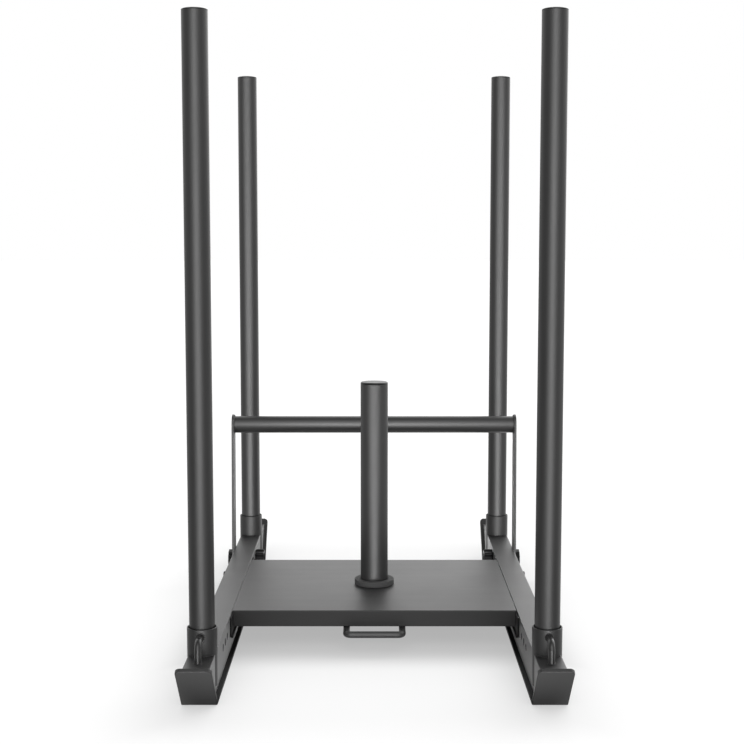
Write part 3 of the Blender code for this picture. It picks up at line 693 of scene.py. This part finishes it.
def make_rib(end, e):
    top = DECK_TOP - DECK_T - GAP
    length = 2 * (RAIL_X - RAIL_W / 2 - BRACKET_T - 0.002)
    h, w = RIB_H / 2, length / 2
    pts = rounded([(-w, -h), (w, -h), (w, h), (-w, h)], [0.002, 0.002, 0.0006, 0.0006], 4)
    me = outline([pts], RIB_T, 0.0006, 2)
    piece(end + "_deck_stiffener", me, at(0, e * RIB_Y, top - RIB_H / 2) @ IN_XZ, "frame", COAT,
          [end + "_deck_rib"], angle=32)
    parts = []
    for i in range(5):
        x = (i - 2) * 0.100
        for way in (-1, 1):
            y = e * RIB_Y + way * (RIB_T / 2 + 0.0003)
            parts.append((bead([(x - 0.014, y, top - 0.0002), (x + 0.014, y, top - 0.0002)], 0.0016, sides=8), Matrix()))
    piece(end + "_rib_welds", merged(parts), Matrix(), "frame", COAT_WELD_PAINTED_SHADE, angle=60, weighted=False)


def make_deck_fasteners():
    outer = RAIL_X + RAIL_W / 2 + GAP
    inner = RAIL_X - RAIL_W / 2 - GAP - BRACKET_T - GAP
    bolt = hex_bolt(0.0098, 0.0064, 0.005, outer - inner + 0.011, 0.026)
    nut = hex_shape(0.0098, 0.008, 0.0053)
    for side, s in SIDES:
        for end, e in ENDS:
            turn = frame_of(Vector((0, 1, 0)), Vector((0, 0, -s)), Vector((-s, 0, 0)),
                            (s * outer, e * DECK_BOLT_Y, DECK_BOLT_Z))
            piece(f"{end}_{side}_hex_bolt", bolt, turn, "frame", BLACK_STEEL,
                  [f"{end}_{side}_deck_bolt"], angle=28)
            piece(f"{end}_{side}_hex_nut", nut, at(s * (inner - 0.004), e * DECK_BOLT_Y, DECK_BOLT_Z) @ ALONG_X,
                  "frame", BLACK_STEEL, [f"{end}_{side}_deck_nut"], angle=28)


def make_pull_loop():
    w, top = LOOP_W / 2, DECK_TOP - DECK_T + 0.0003
    y0 = -DECK_L / 2 + 0.011
    path = rounded([(-w, y0, top), (-w, y0, LOOP_Z), (-w, LOOP_Y, LOOP_Z), (w, LOOP_Y, LOOP_Z), (w, y0, LOOP_Z),
                    (w, y0, top)], LOOP_BEND, 12, closed=False)
    r = LOOP_D / 2
    piece("deck_pull_eye", sweep(path, r, 32), Matrix(), "frame", COAT, ["deck_pull_loop"], angle=50,
          weighted=False)
    ring = [((r + 0.0003) * math.cos(TAU * i / 32), (r + 0.0003) * math.sin(TAU * i / 32), 0.0) for i in range(33)]
    parts = [(bead(ring, 0.0014), at(sx * w, y0, DECK_TOP - DECK_T - 0.0004)) for sx in (-1, 1)]
    piece("deck_pull_weld", merged(parts), Matrix(), "frame", COAT_WELD_PAINTED_SHADE, angle=60, weighted=False)


# ------------------------------------------------------------- weight post
def make_weight_post():
    z0 = DECK_TOP + GAP
    r, ri = WPOST_D / 2, WPOST_D / 2 - WPOST_WALL
    prof = rounded([(r, WPOST_RIM), (r, z0), (ri, z0), (ri, WPOST_RIM)], [0.0006, 0.0005, 0.0005, 0.0005], 4)
    piece("weight_post_tube", lathe(prof, 144), Matrix(), "frame", COAT_TUBE, ["weight_post"], angle=40,
          weighted=False)
    top, h, stem = WPOST_RIM + GAP, WPOST_CAP_H, ri - 2 * GAP
    prof = [tuple(p) for p in rounded(
        [(0.0, top + h), (r - 0.002, top + h - 0.0001), (r, top + h - 0.0014), (r, top), (stem, top)],
        [0, 0.0016, 0.0012, 0.0003, 0], 6, closed=False)]
    z = top
    for k in range(3):
        prof += [(stem, z - 0.002), (stem - 0.0007, z - 0.003), (stem - 0.0007, z - 0.0046), (stem, z - 0.0052)]
        z -= 0.0052
    prof += [(ri - 0.003, top - 0.018), (ri - 0.003, top - 0.002), (0.0, top - 0.002)]
    piece("weight_post_plug", lathe(prof, 128, closed=False), Matrix(), "frame", CAP,
          ["weight_post_cap"], angle=40, weighted=False)
    R, bore = COLLAR_D / 2, r + 0.0007
    prof = rounded([(bore, z0 + COLLAR_H), (R, z0 + COLLAR_H), (R, z0), (bore, z0)], [0.0004, 0.0014, 0.0008, 0.0003], 6)
    piece("weight_post_ring", lathe(prof, 144), Matrix(), "frame", COAT_COLLAR,
          ["weight_post_collar"], angle=40, weighted=False)
    prof = rounded([(ri - GAP, z0 + 0.010), (ri - GAP, z0), (0.0063, z0), (0.0063, z0 + 0.010)], 0.0006, 3)
    piece("weight_post_disc", lathe(prof, 64), Matrix(), "frame", ZINC, ["weight_post_foot"], angle=40,
          weighted=False)
    under = DECK_TOP - DECK_T - GAP
    prof = rounded([(0.0185, under), (0.0185, under - 0.003), (0.0065, under - 0.003), (0.0065, under)],
                   [0.0009, 0.0003, 0.0003, 0.0003], 4)
    piece("weight_post_flat_washer", lathe(prof, 64), Matrix(), "frame", ZINC, ["weight_post_washer"],
          angle=40, weighted=False)
    seat = under - 0.003 - GAP
    piece("weight_post_hex_bolt", hex_bolt(0.0109, 0.0075, 0.006, z0 + 0.014 - seat, 0.016), at(0, 0, seat), "frame",
          ZINC, ["weight_post_bolt"], angle=28)


# --------------------------------------------------------------- low handle
def lobed(r, depth, lobes, steps, sharp=1.0):
    pts = []
    for i in range(steps):
        a = TAU * i / steps
        d = (0.5 - 0.5 * math.cos(lobes * a)) ** sharp
        pts.append(((r - depth * d) * math.cos(a), (r - depth * d) * math.sin(a)))
    return pts


def make_handle():
    half = ARM_X0 + 0.0002
    r, ri = BAR_D / 2, BAR_D / 2 - BAR_WALL
    prof = rounded([(r, half), (r, -half), (ri, -half), (ri, half)], 0.0003, 3)
    piece("handle_tube", lathe(prof, 112), at(0, BAR_Y, BAR_Z) @ ALONG_X, "low_handle", COAT_TUBE,
          ["handle_bar"], angle=40, weighted=False)
    dy, dz = BAR_Y - PIVOT_Y, BAR_Z - PIVOT_Z
    dist = math.hypot(dy, dz)
    lean = math.degrees(math.atan2(dz, dy))
    open_by = math.degrees(math.acos((ARM_R_BOT - ARM_R_TOP) / dist))
    pts = arc(PIVOT_Y, PIVOT_Z, ARM_R_BOT, lean + open_by, lean + 360 - open_by, 48)
    pts += arc(BAR_Y, BAR_Z, ARM_R_TOP, lean - open_by, lean + open_by, 44)
    for side, s in SIDES:
        me = outline([pts, circle(STUD_D / 2 + 0.0004, 40, PIVOT_Y, PIVOT_Z)], ARM_T, 0.0006, 2)
        piece(side + "_handle_strap", me, at(s * (ARM_X0 + ARM_T / 2), 0, 0) @ IN_YZ, "low_handle",
              COAT, [side + "_handle_arm"], angle=30)
        ring = [((r + 0.0004) * math.cos(TAU * i / 64), (r + 0.0004) * math.sin(TAU * i / 64), 0.0) for i in range(65)]
        piece(side + "_handle_weld", bead(ring, 0.0016), at(s * (ARM_X0 - 0.0002), BAR_Y, BAR_Z) @ ALONG_X,
              "low_handle", COAT_WELD_PAINTED_SHADE, angle=60, weighted=False)


def make_pivot(side, s):
    outer, inner = ARM_X0 + ARM_T + GAP, RAIL_X - RAIL_W / 2
    axis = frame_of(Vector((0, s, 0)), Vector((0, 0, 1)), Vector((s, 0, 0)), (s * outer, PIVOT_Y, PIVOT_Z))
    grip = moved(outline([lobed(KNOB_D / 2, 0.0012, 12, 144)], HEAD_L, 0.0016, 3), at(0, 0, HEAD_L / 2))
    dish = lathe([(0.0, HEAD_L + 0.004), (0.0135, HEAD_L + 0.004), (0.0125, HEAD_L - 0.0009), (0.0, HEAD_L - 0.0009)],
                 64, closed=False)
    stud_len = outer - inner + 0.0135
    stud = lathe([(0.0, HEAD_L * 0.4), (STUD_D / 2, HEAD_L * 0.4), (STUD_D / 2, -stud_len + 0.0012),
                  (STUD_D / 2 - 0.0012, -stud_len), (0.0, -stud_len)], 40, closed=False)
    me = combine(grip, [(dish, Matrix(), "DIFFERENCE"), (stud, Matrix(), "UNION")])
    piece(side + "_pivot_grip", me, axis, "frame", KNOB, [side + "_pivot_bolt"], angle=34)
    kaxis = frame_of(Vector((0, -s, 0)), Vector((0, 0, 1)), Vector((-s, 0, 0)),
                     (s * (inner - GAP), PIVOT_Y, PIVOT_Z))
    body = moved(outline([lobed(KNOB_D / 2, 0.0022, 8, 160)], KNOB_L, 0.0022, 4), at(0, 0, KNOB_L / 2))
    # turned relief: a collar at the rail, a dished outer face round the stud
    dish = lathe([(0.0, KNOB_L + 0.004), (0.0130, KNOB_L + 0.004), (0.0120, KNOB_L - 0.0012), (0.0, KNOB_L - 0.0012)],
                 64, closed=False)
    bore = prism(STUD_D / 2 + 0.0003, 0.06, 40)
    skirt = lathe([(0.0260, 0.0014), (0.0260, -0.004), (0.0155, -0.004), (0.0155, 0.0006)], 64)
    me = combine(body, [(dish, Matrix(), "DIFFERENCE"), (skirt, Matrix(), "DIFFERENCE"), (bore, Matrix(), "DIFFERENCE")])
    piece(side + "_clamp_knob", me, kaxis, side + "_knob", KNOB, [side + "_pivot_knob"], angle=34)


def make_runner_screws():
    r = SCREW_D / 2
    body = lathe([(0.0, 0.0120), (r * 0.5, 0.0118), (r, 0.0105), (r, 0.0031), (SCREW_HEAD / 2, 0.0011),
                  (SCREW_HEAD / 2, 0.0008), (0.0, 0.0008)], 40, closed=False)
    me = combine(body, [(prism(0.0015, 0.0040, 6), at(0, 0, 0.0012), "DIFFERENCE")])
    for side, s in SIDES:
        for end, y in zip(("front", "rear"), SCREW_YS):
            piece(f"{end}_{side}_sunk_screw", me, at(s * RAIL_X, y, 0), "frame", BLACK_STEEL,
                  [f"{end}_{side}_runner_screw"], angle=28)


for side, s in SIDES:
    make_rail(side, s)
    make_runner(side, s)
    make_bracket(side, s)
    make_pivot(side, s)
    for end, e in ENDS:
        make_tip(side, s, end, e)
        make_socket(side, s, end, e)
        make_tow_loop(side, s, end, e)
        make_post(side, s, end, e)
make_deck()
for end, e in ENDS:
    make_rib(end, e)
make_deck_fasteners()
make_pull_loop()
make_weight_post()
make_handle()
make_runner_screws()


# --------------------------------------------------------------------- stage
# Studio light, as soft lobes on a sphere: (azimuth from the front, elevation, tightness, strength).
LOBES = (
    (0, 0, 0.250, 0.39), (0, 35, 0.120, 4.60), (80, 5, 0.120, 1.27), (-80, 5, 0.120, 0.78), (-125, 5, 0.085, 0.58),
    (155, 5, 0.060, 1.50), (180, 35, 0.120, 2.08), (130, 35, 0.120, 3.23), (-130, 35, 0.120, 1.27),
)
# floor colour; darker floor colour under the deck (a painted shadow); floor glow close to the sled (weaker: painted
# shade); floor glow further out
FLOOR_ALBEDO, FLOOR_UNDER_DECK_PAINTED_SHADOW, FLOOR_NEAR_PAINTED_SHADE, FLOOR_FAR = 0.37, 0.16, 0.43, 0.50
# Front lights: (azimuth, elevation, angle across, strength for each group).
KEY_GROUPS = (
    ("front_posts", ("*_post_tube",)),
    ("rear_posts", ("*_post_tube",)),
    ("centre", ("weight_post_tube",)),
    ("handle", ("handle_tube", "left_handle_weld", "right_handle_weld")),
    ("collar", ("weight_post_ring",)),
    ("front_sockets", ("*_socket_tube",)),
    ("rear_sockets", ("*_socket_tube",)),
    ("front_tips", ("*_skid_tip",)),
    ("rails", ("left_rail_tube", "right_rail_tube")),
    ("pull", ("deck_pull_eye",)),
    ("front_loops", ("*_tow_eye",)),
    ("arms", ("left_handle_strap", "right_handle_strap")),
)
KEYS = (
    (0, 8, 36, {"front_posts": 0.99, "rear_posts": 0.12, "centre": 0.18, "handle": 4.29, "front_sockets": 1.25,
                "rear_sockets": 0.91, "pull": 0.3}),
    (-30, 3, 36, {"front_posts": 0.14, "rear_posts": 1.02, "centre": 1.35, "collar": 1.69, "front_sockets": 0.11,
                  "rear_sockets": 0.52}),
    (30, 3, 36, {"front_posts": 0.39, "rear_posts": 1.08, "centre": 1.04, "collar": 1.25, "front_sockets": 0.35,
                 "rear_sockets": 0.83}),
    (0, -22, 30, {"front_posts": 0.80, "rear_posts": 2.25, "centre": 0.83, "front_sockets": 0.10, "rear_sockets": 0.13}),
    (0, -10, 60, {"front_posts": 2.01, "rear_posts": 3.13, "centre": 3.68, "rear_sockets": 0.21}),
    (0, -12, 40, {"handle": 1.09, "front_sockets": 1.82, "rear_sockets": 1.97, "front_loops": 2.5, "pull": 1.0,
                    "arms": 2.0}),
    (0, -50, 50, {"front_tips": 2.7}),
    (150, -8, 50, {"rails": 0.22, "arms": 0.20}),
    (-150, -8, 50, {"rails": 0.06, "arms": 0.22}),
)


def math_node(tree, op, a, b=None, c=None):
    node = tree.nodes.new("ShaderNodeMath")
    node.operation = op
    for i, v in enumerate((a, b, c)):
        if isinstance(v, (int, float)):
            node.inputs[i].default_value = v
        elif v is not None:
            tree.links.new(v, node.inputs[i])
    return node.outputs[0]


def ramp(tree, value, lo, hi):
    node = tree.nodes.new("ShaderNodeMapRange")
    node.interpolation_type = "SMOOTHSTEP"
    for name, v in (("From Min", lo), ("From Max", hi)):
        if isinstance(v, (int, float)):
            node.inputs[name].default_value = v
        else:
            tree.links.new(v, node.inputs[name])
    tree.links.new(value, node.inputs["Value"])
    return node.outputs["Result"]


def lobe_sum(tree, direction):
    """Brightness of the studio light from a direction."""
    total = None
    for az, el, tight, strength in LOBES:
        a, e = math.radians(az), math.radians(el)
        dot = tree.nodes.new("ShaderNodeVectorMath")
        dot.operation = "DOT_PRODUCT"
        dot.inputs[1].default_value = (math.sin(a) * math.cos(e), -math.cos(a) * math.cos(e), math.sin(e))
        tree.links.new(direction, dot.inputs[0])
        lobe = math_node(tree, "EXPONENT", math_node(tree, "MULTIPLY",
                                                     math_node(tree, "SUBTRACT", dot.outputs["Value"], 1.0), 1.0 / tight))
        total = math_node(tree, "MULTIPLY_ADD", lobe, strength, 0.0 if total is None else total)
    return total


def make_floor():
    """Pale floor with soft contact shadows from the lights, deepened by painted shade: its colour is darker under the
    deck and its glow weaker close to the sled. Away from the sled its gloss reflections carry the studio light on down;
    close under the skid tips they are dark, painted shade, and just behind the sled a painted reflection brightens the
    rails' inner sides."""
    me = lathe([(0.0, -0.0004), (40.0, -0.0004)], 64, closed=False)
    floor = bpy.data.objects.new("studio_floor", me)
    bpy.context.scene.collection.objects.link(floor)
    mat, tree, shader = nodes_of("studio_floor_white")
    shader.inputs["Roughness"].default_value = 0.9
    shader.inputs["Specular IOR Level"].default_value = 0.1
    shader.inputs["Emission Color"].default_value = (1.0, 1.0, 1.0, 1.0)
    coords = tree.nodes.new("ShaderNodeTexCoord")
    split = tree.nodes.new("ShaderNodeSeparateXYZ")
    link(tree, coords, "Object", split, "Vector")
    across, along = (math_node(tree, "ABSOLUTE", split.outputs[axis]) for axis in "XY")
    outside = math_node(tree, "MAXIMUM", math_node(tree, "SUBTRACT", across, 0.30), math_node(tree, "SUBTRACT", along, 0.53))
    past_deck_painted_shadow = math_node(tree, "MAXIMUM", math_node(tree, "SUBTRACT", across, 0.235), math_node(tree, "SUBTRACT", along, 0.178))
    # the floor's colour darkens under the deck: a painted shadow
    tone = math_node(tree, "MULTIPLY_ADD", ramp(tree, past_deck_painted_shadow, 0.0, 0.12), FLOOR_ALBEDO - FLOOR_UNDER_DECK_PAINTED_SHADOW, FLOOR_UNDER_DECK_PAINTED_SHADOW)
    tree.links.new(tone, shader.inputs["Base Color"])
    away = ramp(tree, outside, 0.04, 0.28)
    ends = ramp(tree, along, 0.38, 0.44)
    # the floor glows less close round the sled: painted shade
    floor_glow_painted_shade = math_node(tree, "MULTIPLY_ADD", ramp(tree, outside, -0.04, 0.18), FLOOR_FAR - FLOOR_NEAR_PAINTED_SHADE, FLOOR_NEAR_PAINTED_SHADE)
    tree.links.new(floor_glow_painted_shade, shader.inputs["Emission Strength"])
    path = tree.nodes.new("ShaderNodeLightPath")
    flat = tree.nodes.new("ShaderNodeVectorMath")
    flat.operation = "NORMALIZE"
    link(tree, coords, "Object", flat, 0)
    carried = tree.nodes.new("ShaderNodeEmission")
    # just behind the sled, between its rails, the floor glows brighter in gloss reflections only: a painted reflection
    # on the rails' inner sides
    painted_reflection_patch = math_node(tree, "MULTIPLY", ramp(tree, split.outputs["Y"], 0.52, 0.60), ramp(tree, across, 0.32, 0.24))
    painted_reflection_patch = math_node(tree, "MULTIPLY", painted_reflection_patch, ramp(tree, along, 0.98, 0.82))
    tree.links.new(math_node(tree, "MULTIPLY_ADD", painted_reflection_patch, 0.42, lobe_sum(tree, flat.outputs["Vector"])),
                   carried.inputs["Strength"])
    # close round the skid tips the floor glow seen in gloss reflections fades to black: painted shade in the tips'
    # reflections
    start = math_node(tree, "MULTIPLY_ADD", ramp(tree, across, 0.13, 0.22), -0.05, 0.03)
    past_tips_painted_shade = math_node(tree, "MAXIMUM", math_node(tree, "SUBTRACT", across, 0.335), math_node(tree, "SUBTRACT", along, 0.53))
    tree.links.new(ramp(tree, past_tips_painted_shade, -0.09, start), carried.inputs["Color"])
    mix = tree.nodes.new("ShaderNodeMixShader")
    tree.links.new(math_node(tree, "MULTIPLY", path.outputs["Is Glossy Ray"], math_node(tree, "MAXIMUM", away, ends)),
                   mix.inputs[0])
    tree.links.new(shader.outputs["BSDF"], mix.inputs[1])
    tree.links.new(carried.outputs["Emission"], mix.inputs[2])
    tree.links.new(mix.outputs["Shader"], tree.nodes["Material Output"].inputs["Surface"])
    me.materials.append(mat)
    return floor


def make_world():
    world = bpy.data.worlds.new("studio")
    bpy.context.scene.world = world
    world.use_nodes = True
    tree = world.node_tree
    tree.nodes.clear()
    out = tree.nodes.new("ShaderNodeOutputWorld")
    coords = tree.nodes.new("ShaderNodeTexCoord")
    total = lobe_sum(tree, coords.outputs["Generated"])
    light = tree.nodes.new("ShaderNodeBackground")
    light.inputs["Color"].default_value = (1.0, 1.0, 1.0, 1.0)
    tree.links.new(total, light.inputs["Strength"])
    seen = tree.nodes.new("ShaderNodeBackground")
    seen.inputs["Color"].default_value = (1.0, 1.0, 1.0, 1.0)
    path = tree.nodes.new("ShaderNodeLightPath")
    mix = tree.nodes.new("ShaderNodeMixShader")
    link(tree, path, "Is Camera Ray", mix, "Fac")
    tree.links.new(light.outputs[0], mix.inputs[1])
    tree.links.new(seen.outputs[0], mix.inputs[2])
    link(tree, mix, "Shader", out, "Surface")


def make_keys():
    """Soft lights, each for one group of parts; the floor and the deck don't shade them."""
    blockers = {group: bpy.data.collections.new("shade_" + group) for group, _ in KEY_GROUPS}
    for part in bpy.context.scene.objects:
        for group, shade in blockers.items():
            words = ("_skid_tip", "_rail_tube") if group == "front_sockets" else ("_plug", "_socket_tube", "_post_ring")
            words = ("_plug",) if group in ("rear_sockets", "collar") else words
            if part.name.endswith(words):
                shade.objects.link(part)
    for group, words in KEY_GROUPS:
        lit = bpy.data.collections.new("key_" + group)
        for part in bpy.context.scene.objects:
            if part.name in words or any(word[0] == "*" and part.name.endswith(word[1:]) and
                                         part.name.startswith(group.split("_")[0]) for word in words):
                lit.objects.link(part)
                if part.name.endswith("_tube") and part.name not in blockers[group].objects and group != "rails":
                    blockers[group].objects.link(part)    # a tube's far side gets none of its light
        for i, (az, el, size, strengths) in enumerate(KEYS):
            strength = strengths.get(group, 0.0)
            if not strength:
                continue
            sun = bpy.data.lights.new(f"key_{group}_{i}", "SUN")
            sun.energy = strength
            sun.angle = math.radians(size)
            sun.cycles.use_multiple_importance_sampling = False
            lamp = bpy.data.objects.new(sun.name, sun)
            bpy.context.scene.collection.objects.link(lamp)
            lamp.rotation_euler = (math.radians(90 - el), 0.0, math.radians(az))
            lamp.light_linking.receiver_collection = lit
            lamp.light_linking.blocker_collection = blockers[group]


make_floor()
make_world()
make_keys()

camera = bpy.data.cameras.new("camera")
camera.sensor_width = 36.0
camera.lens = 65.366
camera.clip_end = 200.0
view = bpy.data.objects.new("camera", camera)
bpy.context.scene.collection.objects.link(view)
view.location = (-0.003989, -2.36886, 0.67924)
view.rotation_euler = (math.radians(90.0 - 5.6438), 0.0, 0.0)
bpy.context.scene.camera = view
bpy.context.scene.view_settings.view_transform = "Standard"
bpy.context.scene.view_settings.look = "None"
